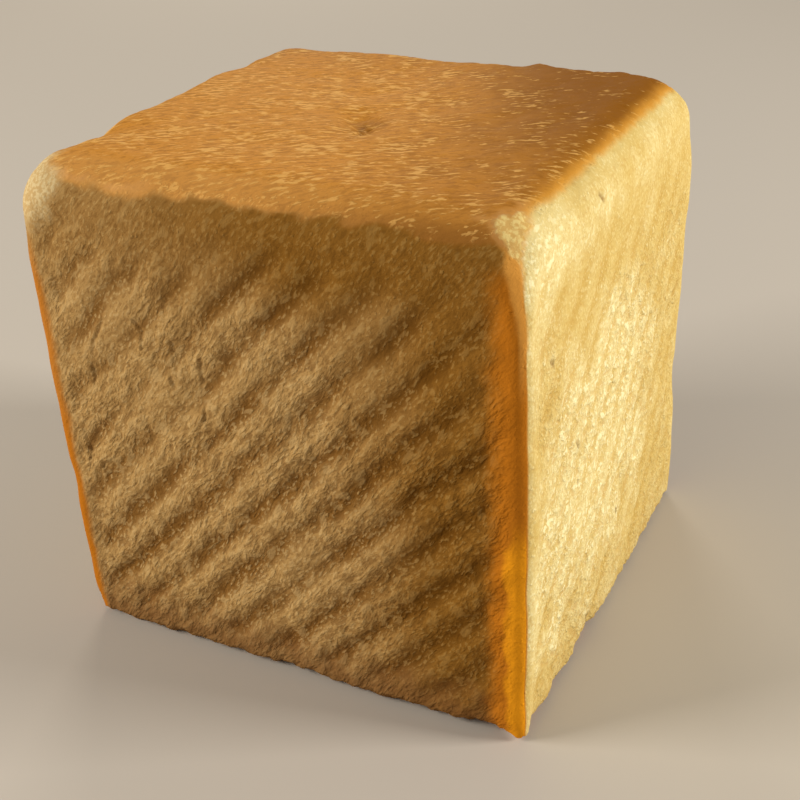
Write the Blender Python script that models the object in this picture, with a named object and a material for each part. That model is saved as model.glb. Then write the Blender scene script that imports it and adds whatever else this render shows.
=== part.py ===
"""A small white tin loaf, baked under a lid in a square tin with slanting corrugated walls.

Metres, +Z up. The loaf stands on its base at z = 0, centred on the origin, with its long width along X.
The tin's walls and lid bound the crust, so every dent, groove and flake goes inwards from them.
"""
import math

import bmesh
import bpy
from mathutils import Vector, noise

# The tin's inside, which the loaf fills
WIDTH = 0.1012
DEPTH = 0.0946
HEIGHT = 0.1022
TOP_EDGE_RADIUS = 0.0098
SIDE_EDGE_RADIUS = 0.0034
TOP_CORNER_RADIUS = 0.0095
TOP_CORNER_REACH = 0.0216
BASE_EDGE_RADIUS = 0.0024
BASE_CORNER_RADIUS = 0.0012
BASE_CORNER_REACH = 0.0070
BASE_FLAT_MARGIN = 0.0055

# The ribs that the corrugated walls press into the sides, rising to the right as each side is faced
RIB_PITCH = 0.00795
RIB_DEPTH = {"front": 0.0010, "right": 0.0006, "back": 0.0009, "left": 0.0009}
RIB_OFFSET = {"front": 0.0079, "right": 0.0039, "back": 0.0016, "left": 0.0091}
RIB_SHARPNESS = 1.4
RIB_FADE_SIDE = 0.0050
RIB_FADE_TOP = 0.0100
RIB_FADE_BASE = 0.0050
SQUARE_ON = 0.8

# Unevenness of the crust: a slow swelling, and a finer crumple
SWELL_SIZE = 0.045
SWELL_DEPTH = 0.0010
SWELL_SEED = 1
CRUMPLE_SIZE = 0.011
CRUMPLE_DEPTH = 0.0005
CRUMPLE_SEED = 2
RAGGED_SIZE = 0.0045
RAGGED_DEPTH = 0.0006
RAGGED_SEED = 3
RAGGED_REACH = (0.0007, 0.0054)
HOLLOW_RANGE = (-0.1, 0.6)

# The puckered navel in the top crust, longer towards the front, where its small hole is
NAVEL_PLACE = (0.0015, -0.0070)
NAVEL_LENGTH = 0.0075
NAVEL_WIDTH = 0.0040
NAVEL_TURN = math.radians(-65.0)
NAVEL_DEPTH = 0.0013
HOLE_PLACE = (0.0040, -0.0128)
HOLE_RADIUS = 0.0016
HOLE_DEPTH = 0.0014

# Places where the crust tore or sank: centre, radius and depth of each dent
DENTS = (
    ((-0.0430, -0.0240, HEIGHT), 0.0075, 0.0011),
    ((-0.0440, 0.0150, HEIGHT), 0.0080, 0.0006),
    ((0.0430, 0.0460, HEIGHT), 0.0050, 0.0013),
    ((0.0280, 0.0460, HEIGHT), 0.0060, 0.0006),
    ((0.0500, -0.0470, 0.0985), 0.0080, 0.0012),
    ((-0.0340, -0.0470, 0.0670), 0.0055, 0.0007),
    ((-0.0140, -0.0470, 0.0640), 0.0060, 0.0008),
    ((0.0415, -0.0470, 0.0000), 0.0040, 0.0015),
    ((0.0500, -0.0415, 0.0000), 0.0042, 0.0017),
    ((0.0500, -0.0300, 0.0000), 0.0035, 0.0008),
    ((0.0500, -0.0140, 0.0000), 0.0040, 0.0013),
)

# How the surface is divided: a cell has three steps in each slanting rib
CELL = RIB_PITCH * math.sqrt(2.0) / 3.0
SHORTEST_CELL = 0.4 * CELL
HALF_WAY_ROUND = 1.0 - math.tan(math.pi / 8)
FLAT_ANGLE = math.radians(0.5)
GRADIENT_STEP = 0.00002
SETTLE_ROUNDS = 12
SMALL = 1e-9

CRUST_COLOUR = (0.60, 0.33, 0.11, 1.0)
CRUST_ROUGHNESS = 0.78


def smooth(low, high, value):
    """A soft step from 0 at low to 1 at high."""
    t = min(max((value - low) / (high - low), 0.0), 1.0)
    return t * t * (3.0 - 2.0 * t)


def mix(a, b, t):
    """The value that lies the share t of the way from a to b."""
    return a + (b - a) * t


def rounded(across, above, radius):
    """Distance from the edge where two faces meet in a round of the given radius."""
    u, v = across + radius, above + radius
    return math.hypot(max(u, 0.0), max(v, 0.0)) + min(max(u, v), 0.0) - radius


def tin_distance(p):
    """How far a point is outside the plain rounded block that fills the tin."""
    rise = smooth(HEIGHT - TOP_CORNER_REACH, HEIGHT, p.z)
    corner = mix(SIDE_EDGE_RADIUS, TOP_CORNER_RADIUS, rise)
    across = rounded(abs(p.x) - WIDTH / 2, abs(p.y) - DEPTH / 2, corner)
    if p.z > HEIGHT / 2:
        return rounded(across, p.z - HEIGHT, TOP_EDGE_RADIUS)
    near_x = smooth(WIDTH / 2 - BASE_CORNER_REACH, WIDTH / 2, abs(p.x))
    near_y = smooth(DEPTH / 2 - BASE_CORNER_REACH, DEPTH / 2, abs(p.y))
    radius = mix(BASE_EDGE_RADIUS, BASE_CORNER_RADIUS, near_x * near_y)
    return rounded(across, -p.z, radius)


def tin_normal(p):
    """The direction out of the block at a point."""
    steps = (Vector((GRADIENT_STEP, 0, 0)), Vector((0, GRADIENT_STEP, 0)), Vector((0, 0, GRADIENT_STEP)))
    return Vector([tin_distance(p + s) - tin_distance(p - s) for s in steps]).normalized()


def settle(p):
    """Brings a point of the sharp block onto the rounded one."""
    for _ in range(SETTLE_ROUNDS):
        gap = tin_distance(p)
        if abs(gap) < SMALL:
            break
        p = p - tin_normal(p) * gap
    return p


def side_of(normal):
    """The name of the side that a direction faces, and how squarely it does so."""
    sides = {"front": -normal.y, "right": normal.x, "back": normal.y, "left": -normal.x}
    name = max(sides, key=sides.get)
    return name, sides[name]


def along_side(name, p):
    """The place along a side, growing to the right as the side is faced, and the side's half length."""
    return {
        "front": (p.x, WIDTH / 2),
        "right": (p.y, DEPTH / 2),
        "back": (-p.x, WIDTH / 2),
        "left": (-p.y, DEPTH / 2),
    }[name]


def rib_depth(p, normal):
    """How deep the tin's ribs press into a side at a point."""
    name, facing = side_of(normal)
    along, half = along_side(name, p)
    phase = 2.0 * math.pi * (p.z - along - RIB_OFFSET[name]) / (RIB_PITCH * math.sqrt(2.0))
    groove = (0.5 + 0.5 * math.cos(phase)) ** RIB_SHARPNESS
    edge = half - SIDE_EDGE_RADIUS
    fade = 1.0 - smooth(edge - RIB_FADE_SIDE, edge, abs(along))
    fade *= 1.0 - smooth(HEIGHT - TOP_EDGE_RADIUS - RIB_FADE_TOP, HEIGHT - TOP_EDGE_RADIUS, p.z)
    fade *= smooth(BASE_EDGE_RADIUS, BASE_EDGE_RADIUS + RIB_FADE_BASE, p.z)
    return RIB_DEPTH[name] * groove * fade * smooth(SQUARE_ON, 1.0, facing)


def hollows(p, size, seed):
    """Smooth noise that is 0 where the crust touches the tin and rises to 1 in hollows of the given size."""
    shift = Vector((seed * 7.3, seed * 3.1, seed * 5.7))
    return smooth(*HOLLOW_RANGE, noise.noise(p / size + shift))


def navel_depth(p):
    """The dent of the navel and its hole in the top crust."""
    if p.z < HEIGHT - TOP_EDGE_RADIUS / 2:
        return 0.0
    x, y = p.x - NAVEL_PLACE[0], p.y - NAVEL_PLACE[1]
    long = x * math.cos(NAVEL_TURN) + y * math.sin(NAVEL_TURN)
    wide = -x * math.sin(NAVEL_TURN) + y * math.cos(NAVEL_TURN)
    dent = NAVEL_DEPTH * math.exp(-(long / NAVEL_LENGTH) ** 2 - (wide / NAVEL_WIDTH) ** 2)
    reach = math.hypot(p.x - HOLE_PLACE[0], p.y - HOLE_PLACE[1])
    return dent + HOLE_DEPTH * math.exp(-((reach / HOLE_RADIUS) ** 2))


def dent_depth(p):
    """The dents and tears of the crust, where they reach a point."""
    return sum(depth * math.exp(-(((p - Vector(place)).length / radius) ** 2)) for place, radius, depth in DENTS)


def base_hold(p):
    """0 on the flat base, which stays as the tin makes it, and 1 from its edge outwards."""
    if p.z > SMALL:
        return 1.0
    inset = min(WIDTH / 2 - abs(p.x), DEPTH / 2 - abs(p.y))
    return 1.0 - smooth(BASE_EDGE_RADIUS, BASE_EDGE_RADIUS + BASE_FLAT_MARGIN, inset)


def crust_depth(p, normal):
    """How far the crust lies inside the tin's plain shape at a point."""
    depth = SWELL_DEPTH * hollows(p, SWELL_SIZE, SWELL_SEED)
    depth += CRUMPLE_DEPTH * hollows(p, CRUMPLE_SIZE, CRUMPLE_SEED)
    low_edge = 1.0 - smooth(*RAGGED_REACH, p.z)
    depth += RAGGED_DEPTH * low_edge * hollows(p, RAGGED_SIZE, RAGGED_SEED)
    return (depth + rib_depth(p, normal) + navel_depth(p) + dent_depth(p)) * base_hold(p)


def cut_places(half):
    """Where a level axis is cut: twice in each rounded edge, and at each cell between them."""
    places = [s * (half - SIDE_EDGE_RADIUS * t) for s in (-1, 1) for t in (1.0, HALF_WAY_ROUND)]
    count = int((half - SIDE_EDGE_RADIUS - SHORTEST_CELL) / CELL)
    return places + [k * CELL for k in range(-count, count + 1)]


def cut_block(bm, axis, places):
    """Cuts the block across an axis at each place."""
    normal = Vector([float(axis == k) for k in range(3)])
    for place in places:
        whole = bm.verts[:] + bm.edges[:] + bm.faces[:]
        bmesh.ops.bisect_plane(bm, geom=whole, plane_co=normal * place, plane_no=normal, dist=1e-6)


def height_cuts():
    """Where the height is cut, so that the front's grooves run along the cells' corners."""
    low = RIB_OFFSET["front"] % CELL
    rows = [low + k * CELL for k in range(int(HEIGHT / CELL) + 1)]
    rows = [z for z in rows if BASE_EDGE_RADIUS + SHORTEST_CELL < z < HEIGHT - SHORTEST_CELL]
    return [BASE_EDGE_RADIUS * HALF_WAY_ROUND, BASE_EDGE_RADIUS] + rows


def split_along_ribs(bm):
    """Splits each square of a side from its lower left to its upper right corner, along the ribs."""
    for face in [f for f in bm.faces if len(f.verts) == 4]:
        name, facing = side_of(face.normal)
        if facing < SQUARE_ON:
            continue
        rise = [along_side(name, vert.co)[0] + vert.co.z for vert in face.verts]
        first = 0 if abs(rise[0] - rise[2]) > abs(rise[1] - rise[3]) else 1
        bmesh.utils.face_split(face, face.verts[first], face.verts[first + 2])


def loaf_mesh():
    """The loaf as one closed surface: a block, divided, rounded and pressed into its crust."""
    bm = bmesh.new()
    bmesh.ops.create_cube(bm, size=1.0)
    bmesh.ops.scale(bm, vec=Vector((WIDTH, DEPTH, HEIGHT)), verts=bm.verts[:])
    bmesh.ops.translate(bm, vec=Vector((0, 0, HEIGHT / 2)), verts=bm.verts[:])
    cut_block(bm, 0, cut_places(WIDTH / 2))
    cut_block(bm, 1, cut_places(DEPTH / 2))
    cut_block(bm, 2, height_cuts())
    for vert in bm.verts:
        vert.co = settle(vert.co)
        normal = tin_normal(vert.co)
        vert.co = vert.co - normal * crust_depth(vert.co, normal)
    resting = {vert for vert in bm.verts if vert.co.z < SMALL}
    inner_edges = [edge for edge in bm.edges if resting.issuperset(edge.verts)]
    bmesh.ops.dissolve_limit(bm, angle_limit=FLAT_ANGLE, verts=list(resting), edges=inner_edges)
    bm.normal_update()
    split_along_ribs(bm)
    bmesh.ops.recalc_face_normals(bm, faces=bm.faces[:])
    mesh = bpy.data.meshes.new("loaf")
    bm.to_mesh(mesh)
    bm.free()
    mesh.shade_smooth()
    return mesh


def crust_material():
    """Baked crust: matt, golden brown."""
    material = bpy.data.materials.new("baked crust")
    material.use_nodes = True
    shader = material.node_tree.nodes["Principled BSDF"]
    shader.inputs["Base Color"].default_value = CRUST_COLOUR
    shader.inputs["Roughness"].default_value = CRUST_ROUGHNESS
    material.diffuse_color = CRUST_COLOUR
    return material


def main():
    for old in list(bpy.data.objects):
        bpy.data.objects.remove(old, do_unlink=True)
    group = bpy.data.collections.new("tin loaf")
    bpy.context.scene.collection.children.link(group)
    loaf = bpy.data.objects.new("loaf", loaf_mesh())
    loaf.data.materials.append(crust_material())
    group.objects.link(loaf)


main()
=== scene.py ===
"""The looks of a small white tin loaf: its fine crust, the crust's finish, a plain studio and the camera.

Metres, +Z up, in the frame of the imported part. The loaf was baked under a lid in a square tin with slanting
corrugated walls, so lid and walls bound the crust, and its relief goes inwards from them.
"""

import logging
import math
from dataclasses import dataclass, field
from enum import Enum
from typing import Protocol, Sequence

import bmesh
import bpy
import numpy as np
from mathutils import Matrix, Vector, noise


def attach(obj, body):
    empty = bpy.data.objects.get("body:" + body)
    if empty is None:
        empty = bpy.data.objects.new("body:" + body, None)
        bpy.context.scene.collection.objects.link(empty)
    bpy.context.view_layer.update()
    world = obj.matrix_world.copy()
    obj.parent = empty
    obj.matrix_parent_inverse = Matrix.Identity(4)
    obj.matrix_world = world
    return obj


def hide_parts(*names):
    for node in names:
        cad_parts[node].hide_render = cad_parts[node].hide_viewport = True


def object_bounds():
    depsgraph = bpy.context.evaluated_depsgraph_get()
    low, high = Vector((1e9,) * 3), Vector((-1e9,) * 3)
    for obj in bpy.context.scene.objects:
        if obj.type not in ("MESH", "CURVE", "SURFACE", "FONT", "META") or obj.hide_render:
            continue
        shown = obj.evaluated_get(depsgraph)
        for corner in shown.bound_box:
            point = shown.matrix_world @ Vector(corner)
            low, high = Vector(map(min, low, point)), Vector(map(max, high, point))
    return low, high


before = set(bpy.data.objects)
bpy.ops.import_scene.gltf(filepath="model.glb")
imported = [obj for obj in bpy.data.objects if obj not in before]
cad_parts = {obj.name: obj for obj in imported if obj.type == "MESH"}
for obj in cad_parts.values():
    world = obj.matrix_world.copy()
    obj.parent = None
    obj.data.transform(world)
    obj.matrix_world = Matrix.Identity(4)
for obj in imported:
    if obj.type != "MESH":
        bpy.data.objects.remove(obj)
CAD_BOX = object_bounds()
MM = 0.001

logging.basicConfig(level=logging.INFO, format="%(message)s")
log = logging.getLogger("tin loaf")

Array = np.ndarray
Colour = tuple[float, float, float]
Place = tuple[float, float, float]
FourSides = tuple[float, float, float, float]
Socket = bpy.types.NodeSocket


class Side(Enum):
    """The four ribbed sides, each with the direction that it faces."""

    FRONT = (0.0, -1.0, 0.0)
    RIGHT = (1.0, 0.0, 0.0)
    BACK = (0.0, 1.0, 0.0)
    LEFT = (-1.0, 0.0, 0.0)

    @property
    def number(self) -> int:
        """The side's place in the order of the four."""
        return list(Side).index(self)

    @property
    def across(self) -> Array:
        """The level direction that points to the right as the side is faced."""
        x, y, _ = self.value
        return np.array((-y, x, 0.0))


class Mask(Enum):
    """The names of the masks that the crust's mesh carries for its finish."""

    BROWNED = "browned"
    EDGED = "edged"
    GROOVED = "grooved"
    CRACKED = "cracked"
    BARED = "bared"
    # Picks the pale cream palette for the right side: partly its own lighter browning, partly painted light
    # on the lit side.
    CREAM_AND_LIT = "cream_and_lit"
    HAZED = "hazed"
    FOOTED = "footed"
    TOPPED = "topped"
    RIMMED = "rimmed"
    WRINKLED = "wrinkled"
    PEACH_AND_LIT = "peach_and_lit"


def smooth(low: float, high: float, value: Array) -> Array:
    """A soft step.

    Args:
        low: where the step starts, at 0.
        high: where it ends, at 1.
        value: the values to step.
    Returns:
        The stepped values, from 0 to 1.
    """
    t = np.clip((value - low) / (high - low), 0.0, 1.0)
    return t * t * (3.0 - 2.0 * t)


def mix(a: Array | float, b: Array | float, t: Array | float) -> Array:
    """The value that lies the share t of the way from a to b."""
    return a + (b - a) * t


def bump_at(distance: Array, width: float) -> Array:
    """A bell of the given width: 1 where the distance is 0, fading to 0."""
    return np.exp(-((distance / width) ** 2))


def noise_field(points: Array, size: float | Sequence[float], seed: float) -> Array:
    """Smooth noise.

    Args:
        points: places, one a row, in metres.
        size: the size of its waves, in metres, alike or for each axis.
        seed: moves to another part of the noise.
    Returns:
        A value for each place, mostly from -0.7 to 0.7.
    """
    shift = np.array((7.3, 3.1, 5.7)) * seed
    places = points / np.asarray(size) + shift
    return np.array([noise.noise(place) for place in places.tolist()])


@dataclass(frozen=True)
class Ramp:
    """A soft step of a value, from start at low to end at high."""

    low: float
    high: float
    start: float = 0.0
    end: float = 1.0

    def at(self, value: Array) -> Array:
        """The step's height at each value."""
        return mix(self.start, self.end, smooth(self.low, self.high, value))


@dataclass(frozen=True)
class Waves:
    """Smooth noise of one strength, size and seed."""

    strength: float
    size: float | Place
    seed: int

    def at(self, points: Array) -> Array:
        """The noise at each place."""
        return self.strength * noise_field(points, self.size, self.seed)


@dataclass(frozen=True)
class Patch:
    """A round patch: its strength in the middle, fading to 0 round it."""

    place: Place
    radius: float
    strength: float

    def at(self, points: Array) -> Array:
        """The patch's strength at each place."""
        return self.strength * bump_at(np.linalg.norm(points - np.array(self.place), axis=1), self.radius)


def unrolled(place: Array, limit: float, radius: float) -> Array:
    """Measures along the surface instead of straight across it.

    Args:
        place: straight places, from -limit to limit.
        limit: where the shape ends.
        radius: the radius of the round before each end.
    Returns:
        The places with the rounds rolled out flat.
    """
    flat = limit - radius
    past = np.clip((np.abs(place) - flat) / radius, 0.0, 1.0)
    return np.sign(place) * np.where(past > 0.0, flat + radius * np.arcsin(past), np.abs(place))


def linear(red: float, green: float, blue: float) -> Colour:
    """A colour as the eye reads it, 0 to 255, turned into linear light."""
    shares = [value / 255.0 for value in (red, green, blue)]
    return tuple(s / 12.92 if s <= 0.04045 else ((s + 0.055) / 1.055) ** 2.4 for s in shares)


@dataclass(frozen=True)
class TinShape:
    """The plain rounded block that fills the tin, as in the part's source."""

    width: float = 0.1012
    depth: float = 0.0946
    height: float = 0.1022
    top_edge_radius: float = 0.0098
    side_edge_radius: float = 0.0034
    top_corner_radius: float = 0.0095
    top_corner_reach: float = 0.0216
    base_edge_radius: float = 0.0024
    base_corner_radius: float = 0.0012
    base_corner_reach: float = 0.0070
    settle_rounds: int = 8
    gradient_step: float = 0.00002

    @staticmethod
    def rounded(across: Array, above: Array, radius: Array | float) -> Array:
        """Distance from the edge where two faces meet in a round of the given radius."""
        u, v = across + radius, above + radius
        return np.hypot(np.maximum(u, 0.0), np.maximum(v, 0.0)) + np.minimum(np.maximum(u, v), 0.0) - radius

    def gap(self, points: Array) -> Array:
        """How far each point is outside the block."""
        x, y, z = np.abs(points[:, 0]), np.abs(points[:, 1]), points[:, 2]
        rise = smooth(self.height - self.top_corner_reach, self.height, z)
        corner = mix(self.side_edge_radius, self.top_corner_radius, rise)
        across = self.rounded(x - self.width / 2, y - self.depth / 2, corner)
        near = smooth(self.width / 2 - self.base_corner_reach, self.width / 2, x)
        near = near * smooth(self.depth / 2 - self.base_corner_reach, self.depth / 2, y)
        foot_radius = mix(self.base_edge_radius, self.base_corner_radius, near)
        top = self.rounded(across, z - self.height, self.top_edge_radius)
        return np.where(z > self.height / 2, top, self.rounded(across, -z, foot_radius))

    def normals(self, points: Array) -> Array:
        """The direction out of the block at each point."""
        steps = np.eye(3) * self.gradient_step
        slope = np.stack([self.gap(points + s) - self.gap(points - s) for s in steps], axis=1)
        return slope / np.maximum(np.linalg.norm(slope, axis=1, keepdims=True), 1e-12)

    def settle(self, points: Array) -> Array:
        """Brings points near the block onto its surface."""
        for _ in range(self.settle_rounds):
            points = points - self.normals(points) * self.gap(points)[:, None]
        return points

    def half(self, side: Side) -> float:
        """Half of a side's length."""
        return self.width / 2 if side in (Side.FRONT, Side.BACK) else self.depth / 2


@dataclass
class Skin:
    """Places on the tin's plain shape, with what the relief and the finish ask about each.

    Attributes:
        tin: the plain shape.
        points: the places, one a row.
        normals: the direction out of the shape at each.
        side: the number of the side that each faces most.
        along: the place along that side, growing to the right as the side is faced.
        facing: how squarely each faces its side, up to 1.
        inset: how far each lies from the nearer end of its side.
    """

    tin: TinShape
    points: Array
    normals: Array = field(init=False)
    side: Array = field(init=False)
    along: Array = field(init=False)
    facing: Array = field(init=False)
    inset: Array = field(init=False)

    def __post_init__(self) -> None:
        """Works out the sides and the places along them."""
        self.normals = self.tin.normals(self.points)
        faced = np.stack([self.normals @ np.array(side.value) for side in Side], axis=1)
        self.side = faced.argmax(axis=1)
        self.facing = faced.max(axis=1)
        places = np.stack([self.points @ side.across for side in Side], axis=1)
        self.along = np.take_along_axis(places, self.side[:, None], axis=1)[:, 0]
        halves = np.array([self.tin.half(side) for side in Side])
        self.inset = halves[self.side] - np.abs(self.along)

    @property
    def height(self) -> Array:
        """The height of each place."""
        return self.points[:, 2]

    @property
    def upward(self) -> Array:
        """1 on the top, 0 on the sides, turning softly in the rounded edge between them."""
        return smooth(0.45, 0.80, self.normals[:, 2])

    def on(self, side: Side) -> Array:
        """True where a place faces the side."""
        return self.side == side.number

    def by_side(self, values: FourSides) -> Array:
        """A value for each place from one for the front, the right, the back and the left side."""
        return np.array(values)[self.side]

    def side_plane(self, turn: float) -> Array:
        """Each place in its side's own plane.

        Args:
            turn: the angle by which the plane's first axis rises from level.
        Returns:
            The place along the turned axis, across it, and a third number that sets the sides apart.
        """
        c, s = math.cos(turn), math.sin(turn)
        long = self.along * c + self.height * s
        wide = -self.along * s + self.height * c
        return np.stack([long, wide, self.side * 0.5], axis=1)

    def top_plane(self, turn: float) -> Array:
        """Each place in the top's plane, turned about the vertical by an angle."""
        c, s = math.cos(turn), math.sin(turn)
        x, y = self.points[:, 0], self.points[:, 1]
        return np.stack([x * c + y * s, -x * s + y * c, np.full(len(x), 9.0)], axis=1)


class Relief(Protocol):
    """Something that presses the crust in from the tin, or lifts it."""

    def depth(self, skin: Skin) -> Array:
        """How far the crust lies inside the tin's plain shape at each place."""


@dataclass(frozen=True)
class Ribs:
    """The ribs that the corrugated walls press into the sides, rising to the right as each side is faced."""

    pitch: float = 0.00795
    depths: FourSides = (0.00086, 0.00030, 0.0009, 0.0009)
    offsets: FourSides = (0.0079, 0.0039, 0.0016, 0.0091)
    sharpness: float = 1.25
    fade_side: float = 0.0050
    fade_top: float = 0.0120
    past_shoulder: float = 0.004
    fade_base: float = 0.0050
    square_on: float = 0.8
    wander: Waves = Waves(0.0014, 0.0100, 21)
    ragged_top: Waves = Waves(0.006, 0.012, 23)
    clearness: float = 0.92
    least_clear: float = 0.6
    patchy: Waves = Waves(0.5, 0.0130, 22)
    muddle_place: tuple[float, float] = (-0.0300, 0.0600)
    muddle_reach: float = 0.0200
    muddle_share: float = 0.45

    def muddle(self, skin: Skin) -> Array:
        """1 in the puckered part of the front, where the ribs hardly show, fading to 0 round it."""
        across, above = skin.along - self.muddle_place[0], skin.height - self.muddle_place[1]
        return np.where(skin.on(Side.FRONT), bump_at(np.hypot(across, above), self.muddle_reach), 0.0)

    def groove(self, skin: Skin) -> Array:
        """1 along the middle of each groove, falling to 0 on the ribs and towards the edges of a side."""
        wander = self.wander.at(skin.side_plane(math.pi / 4)) - skin.by_side(self.offsets)
        phase = 2.0 * math.pi * (skin.height - skin.along + wander) / (self.pitch * math.sqrt(2.0))
        groove = (0.5 + 0.5 * np.cos(phase)) ** self.sharpness
        tin = skin.tin
        edge = tin.side_edge_radius
        shoulder = tin.height - tin.top_edge_radius
        fade = smooth(edge, edge + self.fade_side, skin.inset)
        high = skin.height + self.ragged_top.at(skin.points)
        fade = fade * (1.0 - smooth(shoulder - self.fade_top, shoulder + self.past_shoulder, high))
        fade = fade * smooth(tin.base_edge_radius, tin.base_edge_radius + self.fade_base, skin.height)
        clear = np.clip(self.clearness + self.patchy.at(skin.points), self.least_clear, 1.0)
        clear = clear * (1.0 - self.muddle_share * self.muddle(skin))
        return groove * clear * fade * smooth(self.square_on, 1.0, skin.facing)

    def depth(self, skin: Skin) -> Array:
        """How deep the ribs press at each place."""
        return self.groove(skin) * skin.by_side(self.depths)


@dataclass(frozen=True)
class Hollows:
    """Unevenness where the dough didn't fill the tin: smooth hollows of one size."""

    size: float
    deep: float
    seed: int
    low: float = -0.1
    high: float = 0.6

    def depth(self, skin: Skin) -> Array:
        """How deep the hollows are at each place."""
        return self.deep * smooth(self.low, self.high, noise_field(skin.points, self.size, self.seed))


@dataclass(frozen=True)
class Wrinkles:
    """The fibrous wrinkles of the crust: soft lumps with sharp creases between, drawn out along the ribs."""

    side_turn: float = math.radians(54.0)
    flake_turn: float = math.radians(80.0)
    flake_squeeze: float = 2.3
    top_turn: float = math.radians(28.0)
    stretch: float = 1.9
    coarse: float = 0.0036
    fine: float = 0.0019
    depths: FourSides = (0.00058, 0.00055, 0.00065, 0.00065)
    top_deep: float = 0.00016
    top_fine: float = 0.0016
    top_waves: Waves = Waves(1.5, 0.006, 39)
    fade_side: float = 0.0040
    crease: float = 0.34
    side_bend: Waves = Waves(0.0022, 0.009, 31)
    length_bend: Waves = Waves(0.0022, 0.007, 38)
    coarse_share: float = 0.6
    calm_height: Ramp = Ramp(0.062, 0.090, 0.0, 0.75)
    calm_waves: Waves = Waves(0.012, 0.02, 36)
    usual_share: float = 0.75
    share_waves: Waves = Waves(0.6, 0.014, 37)

    def billow(self, plane: Array, size: float, seed: int) -> Array:
        """Lumps of one size with creases between them, from 0 on a lump to 1 in a crease."""
        value = noise_field(plane, (size * self.stretch, size, 0.1), seed)
        value = value + 0.45 * noise_field(plane, (size * 0.8, size * 0.45, 0.1), seed + 100)
        return 1.0 - smooth(0.0, self.crease, np.abs(value))

    def share(self, skin: Skin) -> Array:
        """How wrinkled each place is: most in the middle and low, less near the top and the upright edges."""
        edge = skin.tin.side_edge_radius * 0.6
        sides = smooth(edge, edge + self.fade_side, skin.inset) * (1.0 - skin.upward)
        calm = self.calm_height.at(skin.height + self.calm_waves.at(skin.points))
        return sides * (1.0 - calm) * (self.usual_share + self.share_waves.at(skin.points))

    def depth(self, skin: Skin) -> Array:
        """How deep the wrinkles are at each place."""
        plane = skin.side_plane(self.side_turn)
        plane[:, 1] += self.side_bend.at(plane)
        plane[:, 0] += self.length_bend.at(plane)
        folds = mix(self.billow(plane, self.fine, 33), self.billow(plane, self.coarse, 32), self.coarse_share)
        top = self.billow(skin.top_plane(self.top_turn), self.top_fine, 35) + self.top_waves.at(skin.points)
        return skin.by_side(self.depths) * folds * self.share(skin) + self.top_deep * top * skin.upward


@dataclass(frozen=True)
class RaggedFoot:
    """The torn edge round the base, where dough crept under and broke off."""

    size: float = 0.0045
    deep: float = 0.0003
    reach: tuple[float, float] = (0.0007, 0.0050)
    crumb_size: float = 0.0017
    crumb_deep: float = 0.00030
    crumb_reach: tuple[float, float] = (0.0008, 0.0075)

    def depth(self, skin: Skin) -> Array:
        """How deep the ragged edge is cut at each place."""
        low = 1.0 - smooth(*self.reach, skin.height)
        torn = self.deep * low * smooth(-0.1, 0.6, noise_field(skin.points, self.size, 3))
        low = 1.0 - smooth(*self.crumb_reach, skin.height)
        return torn + self.crumb_deep * low * smooth(-0.2, 0.5, noise_field(skin.points, self.crumb_size, 41))


@dataclass(frozen=True)
class Navel:
    """The puckered navel in the top crust, longer towards the front, where its small hole is."""

    place: tuple[float, float] = (0.0015, -0.0070)
    long: float = 0.0075
    wide: float = 0.0040
    turn: float = math.radians(-65.0)
    deep: float = 0.0012
    hole_place: tuple[float, float] = (0.0040, -0.0128)
    hole_radius: float = 0.0010
    hole_deep: float = 0.0015
    pucker_deep: float = 0.00060
    pucker_count: int = 9

    def dent(self, skin: Skin) -> Array:
        """1 in the middle of the dent, fading to 0 round it."""
        x, y = skin.points[:, 0] - self.place[0], skin.points[:, 1] - self.place[1]
        long = x * math.cos(self.turn) + y * math.sin(self.turn)
        wide = -x * math.sin(self.turn) + y * math.cos(self.turn)
        return np.exp(-((long / self.long) ** 2) - (wide / self.wide) ** 2)

    def hole(self, skin: Skin) -> Array:
        """1 in the small hole, fading to 0 round it."""
        reach = np.hypot(skin.points[:, 0] - self.hole_place[0], skin.points[:, 1] - self.hole_place[1])
        return bump_at(reach, self.hole_radius)

    def depth(self, skin: Skin) -> Array:
        """How deep the navel, its puckers and its hole are."""
        x, y = skin.points[:, 0] - self.hole_place[0], skin.points[:, 1] - self.hole_place[1]
        turn = np.arctan2(y, x) * self.pucker_count + 6.0 * noise_field(skin.points, 0.004, 51)
        dent = self.dent(skin)
        puckers = dent * (0.5 + 0.5 * np.cos(turn) + 0.8 * noise_field(skin.points, 0.0014, 52))
        deep = self.deep * dent + self.pucker_deep * puckers + self.hole_deep * self.hole(skin)
        return deep * skin.upward


@dataclass(frozen=True)
class Dent(Patch):
    """A round place where the crust tore or sank, or with a negative strength one where it is lifted."""

    def depth(self, skin: Skin) -> Array:
        """How deep the dent is at each place."""
        return self.at(skin.points)


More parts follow.
